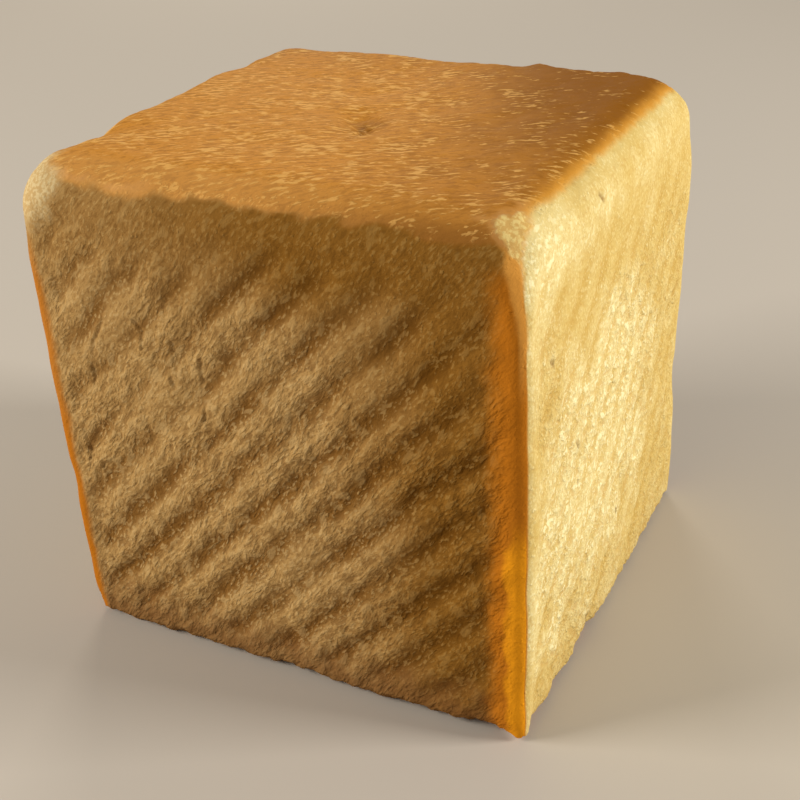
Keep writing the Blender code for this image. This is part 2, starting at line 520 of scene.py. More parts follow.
@dataclass(frozen=True)
class Crack:
    """A fine split in the crust: a bowed line on one side, with a lifted lip beside it."""

    side: Side
    start: tuple[float, float]
    end: tuple[float, float]
    bow: float = 0.0
    width: float = 0.00028
    deep: float = 0.00020
    lip: float = 0.00024
    tint: float = 0.20
    wobble: Waves = Waves(0.0004, 0.0021, 61)

    def distances(self, skin: Skin) -> tuple[Array, Array]:
        """The signed distance across the line, and the share of the way along it, at each place."""
        first, last = np.array(self.start) * MM, np.array(self.end) * MM
        run = last - first
        length = float(np.hypot(*run))
        spot = np.stack([skin.along, skin.height], axis=1) - first
        share = spot @ run / length**2
        across = (spot @ np.array((-run[1], run[0]))) / length
        bowed = across - self.bow * MM * 4.0 * share * (1.0 - share)
        close = skin.on(self.side) & (share > -0.2) & (share < 1.2)
        return np.where(close, bowed + self.wobble.at(skin.points), 1.0), share

    @staticmethod
    def taper(share: Array) -> Array:
        """1 along most of the split, falling to 0 at its ends."""
        return smooth(-0.05, 0.3, share) * (1.0 - smooth(0.7, 1.05, share))

    def mask(self, skin: Skin) -> Array:
        """The split's tint, painted shade in it, fading to 0 beside it and at its ends."""
        across, share = self.distances(skin)
        return self.tint * bump_at(across, self.width) * self.taper(share)

    def depth(self, skin: Skin) -> Array:
        """How deep the split is, less the lip that stands up beside it."""
        across, share = self.distances(skin)
        lip = bump_at(across + 2.6 * self.width, 1.6 * self.width)
        return (self.deep * bump_at(across, self.width) - self.lip * lip) * self.taper(share)


@dataclass(frozen=True)
class TopCrust:
    """The golden crust of the top.

    Attributes:
        limit: how far each side's rounded edge has turned from level, in degrees, where the crust ends.
        early: how many degrees sooner it ends by the near corner, on the right.
        early_reach: the places along the depth between which it does so.
        width: how softly it ends, in degrees.
        left_width: how much more softly it ends on the left of the front, in degrees.
        ragged: how ragged its boundary is on each side.
        boundary: the waves of the boundary, in degrees.
        rim_start: where the paler rim starts, in degrees.
        rim_width: how far it takes to reach its full share, in degrees.
        dusk_right, dusk_back: where and how much darker the crust is towards the right and the back.
        dusk_round: how much darker it is in the rounded front edge.
        dusk_navel: how much darker it is in the navel.
    """

    limit: FourSides = (55.0, 41.0, 46.0, 40.0)
    early: float = 6.0
    early_reach: Ramp = Ramp(-0.035, -0.026, 1.0, 0.0)
    width: FourSides = (4.6, 6.0, 9.0, 9.0)
    left_width: Ramp = Ramp(-0.024, -0.006, 4.0, 0.0)
    ragged: FourSides = (1.0, 0.35, 0.8, 1.0)
    boundary: tuple[Waves, ...] = (
        Waves(9.0, (0.0040, 0.0020, 0.0020), 71),
        Waves(8.0, (0.0110, 0.0060, 0.0060), 72),
    )
    rim_start: FourSides = (80.0, 19.0, 28.0, 22.0)
    rim_width: float = 22.0
    rim_boundary: tuple[Waves, ...] = (Waves(4.0, 0.010, 78), Waves(3.0, 0.0026, 88))
    dusk_right: tuple[Ramp, Ramp] = (Ramp(-0.008, 0.042), Ramp(-0.040, 0.015, 0.506, 0.92))
    dusk_back: Ramp = Ramp(0.000, 0.047, 0.0, 0.40)
    dusk_round: tuple[Ramp, Ramp] = (Ramp(0.52, 0.85), Ramp(-0.014, 0.034, 0.05, 0.45))
    dusk_navel: float = 0.5

    @staticmethod
    def tilt(skin: Skin) -> Array:
        """How far the skin has turned from level at each place, in degrees."""
        return np.degrees(np.arccos(np.clip(skin.normals[:, 2], -1.0, 1.0)))

    def mask(self, skin: Skin) -> Array:
        """1 on the golden crust, 0 below its ragged boundary in the rounded edge."""
        x, y = skin.points[:, 0], skin.points[:, 1]
        limit = skin.by_side(self.limit) - self.early * skin.on(Side.RIGHT) * self.early_reach.at(y)
        width = skin.by_side(self.width) + skin.on(Side.FRONT) * self.left_width.at(x)
        ragged = skin.by_side(self.ragged) * sum(waves.at(skin.points) for waves in self.boundary)
        return 1.0 - smooth(-1.0, 1.0, (self.tilt(skin) + ragged - limit) / width)

    def rim(self, skin: Skin) -> Array:
        """1 on the paler golden rim, which the right, back and left edges have."""
        start = skin.by_side(self.rim_start)
        turned = self.tilt(skin) + sum(waves.at(skin.points) for waves in self.rim_boundary)
        return smooth(start, start + self.rim_width, turned)

    def dusk(self, skin: Skin, navel: Array) -> Array:
        """How much darker the top is at each place, where the navel's dent is given."""
        x, y = skin.points[:, 0], skin.points[:, 1]
        flat = self.dusk_right[0].at(x) * self.dusk_right[1].at(y) + self.dusk_back.at(y)
        bend = self.dusk_round[0].at(-skin.normals[:, 1]) * self.dusk_round[1].at(x)
        return flat + self.dusk_navel * navel + bend


@dataclass(frozen=True)
class EdgeBrowning:
    """How far the browned upright corner between two sides reaches onto each of them.

    Attributes:
        first, second: the sides, in the order that they follow to the right.
        first_reach, second_reach: how far the browning reaches onto each.
        strength: how brown it is.
        second_soft: how softly it ends on the second side.
        full_share: the share of the first reach where it is full.
        top: the heights between which it fades.
        weak_drop: how much lower each of these is for a corner of no strength.
    """

    first: Side
    second: Side
    first_reach: float
    second_reach: float
    strength: float = 1.0
    second_soft: float = 0.0012
    full_share: float = 0.20
    top: tuple[float, float] = (0.090, 0.098)
    weak_drop: tuple[float, float] = (0.05, 0.02)

    def mask(self, skin: Skin, reach: Array, ragged: Array) -> Array:
        """The browning of this corner.

        Args:
            skin: the places.
            reach: how far each lies from the middle of its corner's round, along the surface.
            ragged: how far the browning's boundary wanders at each.
        Returns:
            The corner's strength on it, fading to 0 along both sides and upwards.
        """
        first = skin.on(self.first) & (skin.along > 0)
        second = skin.on(self.second) & (skin.along < 0)
        place = np.where(first, np.minimum(ragged - reach, 0.0), reach + 0.5 * ragged)
        end, soft = self.second_reach, self.second_soft
        spread = smooth(-self.first_reach, -self.full_share * self.first_reach, place)
        spread = spread * (1.0 - smooth(end - soft, end + soft, place))
        low, high = (top - drop * (1.0 - self.strength) for top, drop in zip(self.top, self.weak_drop))
        spread = spread * (1.0 - smooth(low, high, skin.height))
        return np.where(first | second, spread * self.strength, 0.0)


@dataclass(frozen=True)
class UprightCorners:
    """The four browned upright corners, fainter in their upper part."""

    edges: tuple[EdgeBrowning, ...] = (
        EdgeBrowning(Side.FRONT, Side.RIGHT, 0.0100, 0.0003, 1.0, 0.0003),
        EdgeBrowning(Side.LEFT, Side.FRONT, 0.0060, 0.0030, 0.75),
        EdgeBrowning(Side.RIGHT, Side.BACK, 0.0006, 0.0034, 0.6, 0.0024),
        EdgeBrowning(Side.BACK, Side.LEFT, 0.0060, 0.0040, 0.55, 0.0030),
    )
    boundary: tuple[Waves, ...] = (Waves(0.0011, 0.0050, 73), Waves(0.0006, 0.0017, 74))
    calm_reach: float = 0.003
    upper: Ramp = Ramp(0.038, 0.055, 1.0, 0.72)

    def mask(self, skin: Skin) -> Array:
        """1 on the browned corners, fading onto the sides."""
        radius = skin.tin.side_edge_radius
        turned = np.arcsin(np.clip(1.0 - skin.inset / radius, 0.0, 1.0))
        reach = radius * (math.pi / 4 - turned) + np.maximum(skin.inset - radius, 0.0)
        ragged = sum(waves.at(skin.points) for waves in self.boundary) * smooth(0.0, self.calm_reach, reach)
        browned = np.max([edge.mask(skin, reach, ragged) for edge in self.edges], axis=0)
        return browned * self.upper.at(skin.height)


@dataclass(frozen=True)
class SideHaze:
    """Where the side crust is darker: right and high on the front, the right partly painted shade, and round
    the right side's middle.

    Attributes:
        front_right, front_high: where the front darkens, along its width and its height.
        front_high_share: how much it darkens high up, along its width.
        front_waves, front_wavers: the unevenness, and how far it moves the two.
        brow, brow_share: the deepest band under the top edge, by its height and along the width.
        plain, plain_waves: how deep the back and the left side are.
        pale_middle: the middle of the right side's pale part, along the side and up.
        pale_reach: how far that part reaches to the left, to the right, up and down.
        ring, ring_waves: how the right side darkens from there outwards.
        blotches, blotch_waves, speckle_waves: the unevenness of the right side, the first by height.
        shoulder, shoulder_waver: how much paler its top is, and how far the unevenness moves that.
        pale_patches: paler places of the right side; the upper one, by the near corner's top, is painted
            light.
    """

    front_right: Ramp = Ramp(0.002, 0.040)
    front_high: Ramp = Ramp(0.068, 0.094)
    front_high_share: Ramp = Ramp(-0.040, 0.010, 0.50, 1.0)
    front_waves: Waves = Waves(1.0, 0.018, 79)
    front_wavers: tuple[float, float] = (0.008, 0.006)
    brow: Ramp = Ramp(0.082, 0.092)
    brow_share: Ramp = Ramp(0.000, 0.030, 0.0, 0.20)
    plain: float = 0.4
    plain_waves: Waves = Waves(0.8, 0.030, 75)
    pale_middle: tuple[float, float] = (-0.005, 0.050)
    pale_reach: FourSides = (0.050, 0.037, 0.034, 0.050)
    ring: Ramp = Ramp(0.35, 1.10, 0.0, 0.95)
    ring_waves: Waves = Waves(0.15, 0.012, 81)
    blotches: Ramp = Ramp(0.03, 0.06, 0.75, 0.5)
    blotch_waves: Waves = Waves(1.0, 0.011, 82)
    speckle_waves: Waves = Waves(0.35, 0.0045, 84)
    shoulder: Ramp = Ramp(0.087, 0.094, 0.0, 0.28)
    shoulder_waver: float = 0.004
    pale_patches: tuple[Patch, ...] = (
        Patch((0.050, -0.027, 0.026), 0.018, 0.35),
        # Painted light where the key lamp only grazes the side.
        Patch((0.050, -0.041, 0.093), 0.011, 0.9),
    )

    def front(self, skin: Skin) -> Array:
        """The haze as the front has it: darker to the right, partly painted shade, and high up."""
        x, z = skin.points[:, 0], skin.height
        right, high = (waver * self.front_waves.at(skin.points) for waver in self.front_wavers)
        high = self.front_high.at(z + high) * self.front_high_share.at(x)
        haze = np.maximum(self.front_right.at(x + right), high)
        return haze + self.brow.at(z) * self.brow_share.at(x)

    def right(self, skin: Skin, plain: Array) -> Array:
        """The haze as the right side has it, where the plain sides' haze is given."""
        across, above = skin.along - self.pale_middle[0], skin.height - self.pale_middle[1]
        left, right, up, down = self.pale_reach
        across, above = across / np.where(across > 0, right, left), above / np.where(above > 0, up, down)
        haze = self.ring.at(np.hypot(across, above) + self.ring_waves.at(skin.points))
        haze = haze + self.blotches.at(skin.height) * self.blotch_waves.at(skin.points)
        haze = haze + self.speckle_waves.at(skin.points)
        haze = haze - self.shoulder.at(skin.height + self.shoulder_waver * plain)
        return np.clip(haze - sum(patch.at(skin.points) for patch in self.pale_patches), 0.0, 1.0)

    def mask(self, skin: Skin) -> Array:
        """How deep the colour of each place is."""
        plain = np.clip(self.plain + self.plain_waves.at(skin.points), 0.0, 1.0)
        sides = np.where(skin.on(Side.RIGHT), self.right(skin, plain), plain)
        return np.where(skin.on(Side.FRONT), self.front(skin), sides)


@dataclass(frozen=True)
class BareCrust:
    """Where the browned crust is missing: pale at the far top corner, torn off at the near one.

    Attributes:
        pale_place, pale_reach, pale_waves: the pale corner, how it fades outwards, and its unevenness.
        torn_corners: the corners of the torn patch, in millimetres.
        torn_outward: the way that the patch faces, and the least reach that way of a place in it.
        torn_waves: the raggedness of its edges.
        torn_reach: how sharply it ends.
    """

    pale_place: Place = (-0.0475, -0.0440, 0.0965)
    pale_reach: Ramp = Ramp(0.0045, 0.0095, 1.0, 0.0)
    pale_waves: Waves = Waves(0.0030, 0.0035, 85)
    torn_corners: tuple[Place, Place, Place] = (
        (41.9, -42.2, 101.0),
        (45.8, -36.7, 100.8),
        (48.8, -44.5, 94.0),
    )
    torn_outward: Place = (1.0, -1.0, 1.0)
    torn_least_reach: float = 0.05
    torn_waves: tuple[Waves, ...] = (Waves(0.0013, 0.0026, 76), Waves(0.0005, 0.0010, 87))
    torn_reach: Ramp = Ramp(-0.0003, 0.0003)

    def pale(self, skin: Skin) -> Array:
        """1 on the pale corner, fading to 0 round it."""
        away = np.linalg.norm(skin.points - np.array(self.pale_place), axis=1)
        return self.pale_reach.at(away + self.pale_waves.at(skin.points))

    def torn(self, skin: Skin) -> Array:
        """How far inside the torn patch each place lies, below 0 outside it."""
        corners = np.array(self.torn_corners) * MM
        outward = np.array(self.torn_outward) / np.linalg.norm(self.torn_outward)
        inside = np.full(len(skin.points), 1.0)
        for first, last, third in zip(corners, np.roll(corners, -1, axis=0), np.roll(corners, -2, axis=0)):
            across = np.cross(outward, last - first)
            across = across / np.linalg.norm(across) * np.sign((third - first) @ across)
            inside = np.minimum(inside, (skin.points - first) @ across)
        inside = inside + sum(waves.at(skin.points) for waves in self.torn_waves)
        return np.where(skin.points @ outward > self.torn_least_reach, inside, -1.0)


@dataclass(frozen=True)
class PeachCrust:
    """Where the browned crust is peach; on the rounded front edge and the start of that round this is painted
    light.

    Attributes:
        edge, edge_waves, edge_left: painted light on the rounded front edge, by how far it faces forwards and
            the width.
        bend, bend_share, bend_height: painted light at the start of that round, the same way, from a height
            upwards.
        corner_start, corner_end, corner_waves: the near upright corner, by how far it faces right.
        corner_height: where that starts.
        border: the border of the torn patch.
        border_facing: how far to the right a place may face and still be in it.
    """

    edge: Ramp = Ramp(0.45, 0.75, 0.0, 0.75)
    edge_waves: Waves = Waves(0.25, 0.0050, 83)
    edge_left: Ramp = Ramp(-0.030, -0.008, 1.0, 0.0)
    bend: Ramp = Ramp(0.08, 0.45)
    bend_share: Ramp = Ramp(-0.010, 0.040, 0.34, 0.12)
    bend_height: float = 0.09
    corner_start: Ramp = Ramp(0.34, 0.46, 0.0, 0.85)
    corner_end: Ramp = Ramp(0.70, 0.80, 1.0, 0.0)
    corner_waves: Waves = Waves(0.10, 0.0040, 86)
    corner_height: Ramp = Ramp(0.070, 0.084)
    border: Ramp = Ramp(-0.0020, -0.0008, 0.0, 0.42)
    border_facing: float = 0.75

    def mask(self, skin: Skin, browned: Array, torn: Array) -> Array:
        """How peach each place is.

        Args:
            skin: the places.
            browned: the mask of the golden top crust.
            torn: how far inside the torn patch each place lies.
        Returns:
            A share for each place.
        """
        x, forwards = skin.points[:, 0], -skin.normals[:, 1]
        edge = self.edge.at(forwards + self.edge_waves.at(skin.points)) * self.edge_left.at(x)
        edge = np.where(skin.on(Side.FRONT) | (browned > 0.5), edge, 0.0)
        bend = self.bend.at(forwards) * self.bend_share.at(x) * (skin.height > self.bend_height)
        turned = skin.normals[:, 0] + self.corner_waves.at(skin.points)
        corner = self.corner_start.at(turned) * self.corner_end.at(turned)
        corner = corner * self.corner_height.at(skin.height) * (forwards > 0) * (1.0 - skin.upward)
        border = self.border.at(torn) * (skin.normals[:, 0] < self.border_facing)
        return np.max([edge * browned, bend * browned, corner, border], axis=0)


@dataclass
class LoafCrust:
    """The loaf's whole crust as one closed fine mesh, pressed into its relief and given its masks."""

    tin: TinShape = field(default_factory=TinShape)
    ribs: Ribs = field(default_factory=Ribs)
    wrinkles: Wrinkles = field(default_factory=Wrinkles)
    navel: Navel = field(default_factory=Navel)
    foot: RaggedFoot = field(default_factory=RaggedFoot)
    cell: float = 0.00078
    base_rings: tuple[float, ...] = (0.0008, 0.0016, 0.0026, 0.0042, 0.0070)
    swell: Hollows = Hollows(size=0.045, deep=0.0010, seed=1)
    crumple: Hollows = Hollows(size=0.011, deep=0.0004, seed=2)
    flat_margin: float = 0.0055
    refine_reach: float = 0.0012
    dents: tuple[Dent, ...] = (
        Dent((-0.0435, -0.0262, 0.1018), 0.0062, 0.0014),
        Dent((-0.0447, 0.0140, 0.1018), 0.0090, -0.0008),
        Dent((-0.0447, -0.0165, 0.1018), 0.0060, -0.0006),
        Dent((-0.0450, -0.0390, 0.0995), 0.0060, 0.0003),
        Dent((-0.0492, -0.0449, 0.0942), 0.0080, -0.0005),
        Dent((-0.0506, -0.0450, 0.0800), 0.0090, 0.0003),
        Dent((-0.0300, -0.0473, 0.0000), 0.0100, -0.0006),
        Dent((-0.0080, -0.0473, 0.0000), 0.0120, -0.0006),
        Dent((-0.0506, -0.0460, 0.0000), 0.0050, 0.0009),
        Dent((0.0183, 0.0420, 0.1018), 0.0028, -0.0008),
        Dent((0.0360, 0.0405, 0.1018), 0.0030, -0.0005),
        Dent((-0.0013, -0.0473, 0.0473), 0.0016, -0.0005),
        Dent((0.0013, -0.0473, 0.0820), 0.0012, -0.0004),
        Dent((0.0430, 0.0455, 0.1022), 0.0064, 0.0013),
        Dent((0.0280, 0.0460, 0.1022), 0.0060, 0.0006),
        Dent((0.0500, -0.0470, 0.0985), 0.0080, 0.0012),
        Dent((-0.0340, -0.0470, 0.0670), 0.0055, 0.0004),
        Dent((-0.0140, -0.0470, 0.0640), 0.0060, 0.0005),
        Dent((0.0415, -0.0470, 0.0000), 0.0040, 0.0015),
        Dent((0.0500, -0.0415, 0.0000), 0.0042, 0.0017),
        Dent((0.0500, -0.0300, 0.0000), 0.0035, 0.0008),
        Dent((0.0500, -0.0140, 0.0000), 0.0040, 0.0013),
    )
    cracks: tuple[Crack, ...] = (
        Crack(Side.FRONT, (-32.1, 74.1), (-37.9, 63.5), bow=-0.9),
        Crack(Side.FRONT, (-37.9, 63.5), (-39.2, 57.0), bow=0.2),
        Crack(Side.FRONT, (-12.1, 69.7), (-12.7, 62.4), bow=-1.0),
        Crack(Side.FRONT, (-13.0, 59.6), (-14.2, 53.4), bow=0.3),
        Crack(Side.FRONT, (-43.5, 45.9), (-43.8, 37.4), bow=0.5),
        Crack(Side.FRONT, (-40.0, 41.8), (-40.2, 37.2)),
        Crack(Side.FRONT, (-20.2, 64.2), (-18.9, 61.6)),
        Crack(Side.FRONT, (-19.6, 71.4), (-18.9, 68.4), bow=0.3),
        Crack(Side.FRONT, (-24.8, 71.2), (-25.3, 67.2), bow=-0.4),
        Crack(Side.FRONT, (-26.9, 74.4), (-24.7, 72.3)),
        Crack(Side.RIGHT, (-15.0, 96.4), (-13.2, 94.0), width=0.0006, tint=0.9),
        Crack(Side.RIGHT, (-37.7, 75.8), (-35.3, 73.8), width=0.0005, tint=0.9),
        Crack(Side.RIGHT, (-13.9, 6.6), (-12.2, 1.4), width=0.0006, tint=0.9),
        Crack(Side.RIGHT, (-24.3, 53.4), (-22.5, 51.0), width=0.0005, tint=0.9),
        Crack(Side.RIGHT, (-23.1, 44.2), (-21.4, 42.1), width=0.0004, tint=0.9),
        Crack(Side.RIGHT, (-28.6, 16.8), (-27.6, 12.6), width=0.0004, tint=0.9),
        Crack(Side.RIGHT, (1.5, 23.4), (2.5, 20.4), width=0.0005, tint=0.9),
    )
    top_crust: TopCrust = TopCrust()
    corners: UprightCorners = UprightCorners()
    haze: SideHaze = SideHaze()
    bare: BareCrust = BareCrust()
    peach: PeachCrust = PeachCrust()
    # Share of the pale cream palette by side: partly real browning, partly painted light on the lit right
    # side.
    cream_and_lit: FourSides = (0.0, 1.0, 0.15, 0.35)
    # Share of the darker foot by side: partly browner crust, partly painted shade at the base, little on the
    # lit right side.
    footed: FourSides = (1.0, 0.15, 1.0, 1.0)
    foot_reach: Ramp = Ramp(0.002, 0.014, 1.0, 0.0)
    foot_waves: Waves = Waves(0.004, 0.004, 77)

    def build(self, name: str, material: bpy.types.Material) -> bpy.types.Object:
        """Makes the crust.

        Args:
            name: the object's name.
            material: the crust's finish.
        Returns:
            The crust's object, at the origin, with its masks and its grain map.
        """
        bm = self.block()
        self.place_all(bm, self.tin.settle(self.places(bm)))
        self.refine(bm)
        settled = self.tin.settle(self.places(bm))
        skin = Skin(self.tin, settled)
        self.place_all(bm, self.pressed(skin))
        bmesh.ops.recalc_face_normals(bm, faces=bm.faces[:])
        mesh = bpy.data.meshes.new(name)
        bm.to_mesh(mesh)
        bm.free()
        mesh.shade_smooth()
        mesh.materials.append(material)
        self.add_masks(mesh, skin)
        self.add_grain_map(mesh, skin)
        made = bpy.data.objects.new(name, mesh)
        bpy.context.scene.collection.objects.link(made)
        log.info("%s: %d faces", name, len(mesh.polygons))
        return made

    def block(self) -> bmesh.types.BMesh:
        """A sharp block of the tin's size, divided into even cells, with rings of them round a plain base."""
        tin = self.tin
        bm = bmesh.new()
        bmesh.ops.create_cube(bm, size=1.0)
        bmesh.ops.scale(bm, vec=Vector((tin.width, tin.depth, tin.height)), verts=bm.verts[:])
        bmesh.ops.translate(bm, vec=Vector((0, 0, tin.height / 2)), verts=bm.verts[:])
        bm.normal_update()
        bottom = [face for face in bm.faces if face.normal.z < -0.5]
        bmesh.ops.delete(bm, geom=bottom, context="FACES_ONLY")
        for axis, length in enumerate((tin.width, tin.depth, tin.height)):
            edges = [edge for edge in bm.edges if abs(edge.verts[0].co[axis] - edge.verts[1].co[axis]) > 1e-6]
            cuts = round(length / self.cell) - 1
            bmesh.ops.subdivide_edges(bm, edges=edges, cuts=cuts, use_grid_fill=True)
        rim = [edge for edge in bm.edges if edge.is_boundary]
        last = 0.0
        for ring in self.base_rings:
            made = bmesh.ops.extrude_edge_only(bm, edges=rim)["geom"]
            verts = [item for item in made if isinstance(item, bmesh.types.BMVert)]
            rim = [item for item in made if isinstance(item, bmesh.types.BMEdge) and item.is_boundary]
            shrink = [(half - ring) / (half - last) for half in (tin.width / 2, tin.depth / 2)]
            bmesh.ops.scale(bm, vec=Vector((*shrink, 1.0)), verts=verts)
            last = ring
        bmesh.ops.contextual_create(bm, geom=rim)
        return bm

    @staticmethod
    def places(bm: bmesh.types.BMesh) -> Array:
        """The places of the vertices, one a row."""
        return np.array([vert.co[:] for vert in bm.verts])

    @staticmethod
    def place_all(bm: bmesh.types.BMesh, places: Array) -> None:
        """Moves the vertices to new places."""
        for vert, place in zip(bm.verts, places.tolist()):
            vert.co = place

    def refine(self, bm: bmesh.types.BMesh) -> None:
        """Divides the cells again where a crack or the navel's hole needs finer ones."""
        skin = Skin(self.tin, self.places(bm))
        near = self.navel.hole(skin) * skin.upward > 0.15
        for crack in self.cracks:
            across, share = crack.distances(skin)
            near |= (np.abs(across) < self.refine_reach) & (share > -0.15) & (share < 1.15)
        bm.verts.index_update()
        edges = [edge for edge in bm.edges if near[edge.verts[0].index] and near[edge.verts[1].index]]
        bmesh.ops.subdivide_edges(bm, edges=edges, cuts=2, use_grid_fill=True)

    def base_hold(self, skin: Skin) -> Array:
        """0 on the flat base, which stays as the tin makes it, and 1 from its edge outwards."""
        inset = np.minimum(
            self.tin.width / 2 - np.abs(skin.points[:, 0]), self.tin.depth / 2 - np.abs(skin.points[:, 1])
        )
        start = self.tin.base_edge_radius
        flat = smooth(start, start + self.flat_margin, inset)
        return np.where(skin.height > 1e-6, 1.0, 1.0 - flat)

    def pressed(self, skin: Skin) -> Array:
        """The places after the tin, the dough and the oven have shaped the crust."""
        reliefs: list[Relief] = [self.swell, self.crumple, self.ribs, self.wrinkles, self.foot, self.navel]
        reliefs += [*self.dents, *self.cracks]
        depth = sum(relief.depth(skin) for relief in reliefs) * self.base_hold(skin)
        places = skin.points - skin.normals * depth[:, None]
        tin = self.tin
        low, high = (-tin.width / 2, -tin.depth / 2, 0.0), (tin.width / 2, tin.depth / 2, tin.height)
        return np.clip(places, low, high)

    def masks(self, skin: Skin) -> dict[Mask, Array]:
        """The values of each mask at each place."""
        browned = self.top_crust.mask(skin)
        torn = self.bare.torn(skin)
        patch = self.bare.torn_reach.at(torn)
        dusk = self.top_crust.dusk(skin, self.navel.dent(skin))
        splits = [crack.mask(skin) for crack in self.cracks]
        foot = self.foot_reach.at(skin.height + self.foot_waves.at(skin.points))
        return {
            Mask.BROWNED: browned,
            Mask.EDGED: self.corners.mask(skin),
            Mask.GROOVED: self.ribs.groove(skin),
            # Painted shade in the splits and the navel's hole.
            Mask.CRACKED: np.max([*splits, self.navel.hole(skin) * skin.upward], axis=0),
            Mask.BARED: np.maximum(self.bare.pale(skin), patch),
            Mask.CREAM_AND_LIT: skin.by_side(self.cream_and_lit),
            Mask.HAZED: np.where(patch > 0.01, 1.0, mix(self.haze.mask(skin), dusk, browned)),
            Mask.FOOTED: foot * skin.by_side(self.footed),
            Mask.TOPPED: skin.upward,
            Mask.RIMMED: self.top_crust.rim(skin),
            Mask.WRINKLED: np.clip(self.wrinkles.share(skin), 0.0, 1.0),
            Mask.PEACH_AND_LIT: self.peach.mask(skin, browned, torn),
        }

    def add_masks(self, mesh: bpy.types.Mesh, skin: Skin) -> None:
        """Writes the masks that the finish reads onto the mesh."""
        for mask, values in self.masks(skin).items():
            layer = mesh.attributes.new(mask.value, "FLOAT", "POINT")
            layer.data.foreach_set("value", values.astype(np.float32))

    def add_grain_map(self, mesh: bpy.types.Mesh, skin: Skin) -> None:
        """Writes a UV map in millimetres whose first axis follows the crust's grain."""
        corners = np.zeros(len(mesh.loops), np.int64)
        mesh.loops.foreach_get("vertex_index", corners)
        starts, totals = np.zeros(len(mesh.polygons), np.int64), np.zeros(len(mesh.polygons), np.int64)
        mesh.polygons.foreach_get("loop_start", starts)
        mesh.polygons.foreach_get("loop_total", totals)
        owner = np.repeat(np.arange(len(starts)), totals)
        normals = np.zeros(len(starts) * 3)
        mesh.polygons.foreach_get("normal", normals)
        normals = normals.reshape(-1, 3)
        faced = np.stack([normals @ np.array(side.value) for side in Side], axis=1)
        side = faced.argmax(axis=1)[owner]
        flat = (np.abs(normals[:, 2]) > 0.65)[owner]
        points = skin.points[corners]
        along = np.stack([points @ s.across for s in Side], axis=1)[np.arange(len(side)), side]
        tin = self.tin
        top, upright = tin.top_edge_radius, tin.side_edge_radius
        halves = np.array([tin.half(s) for s in Side])[side]
        ends = (tin.width / 2, tin.depth / 2)
        level = [unrolled(points[:, axis], end, top) for axis, end in enumerate(ends)]
        first = np.where(flat, level[0], unrolled(along, halves, upright))
        second = np.where(flat, level[1], unrolled(points[:, 2], tin.height, top))
        turns = np.array([self.wrinkles.side_turn, self.wrinkles.flake_turn] * 2)
        turn = np.where(flat, self.wrinkles.top_turn, turns[side])
        squeeze = np.where(flat, 1.0, np.array((1.0, self.wrinkles.flake_squeeze) * 2)[side])
        apart = np.where(flat, 5.0, side.astype(float)) * 300.0
        u = (first * np.cos(turn) + second * np.sin(turn)) * squeeze / MM + apart
        v = (-first * np.sin(turn) + second * np.cos(turn)) / MM
        layer = mesh.uv_layers.new(name="grain")
        layer.data.foreach_set("uv", np.stack([u, v], axis=1).astype(np.float32).ravel())


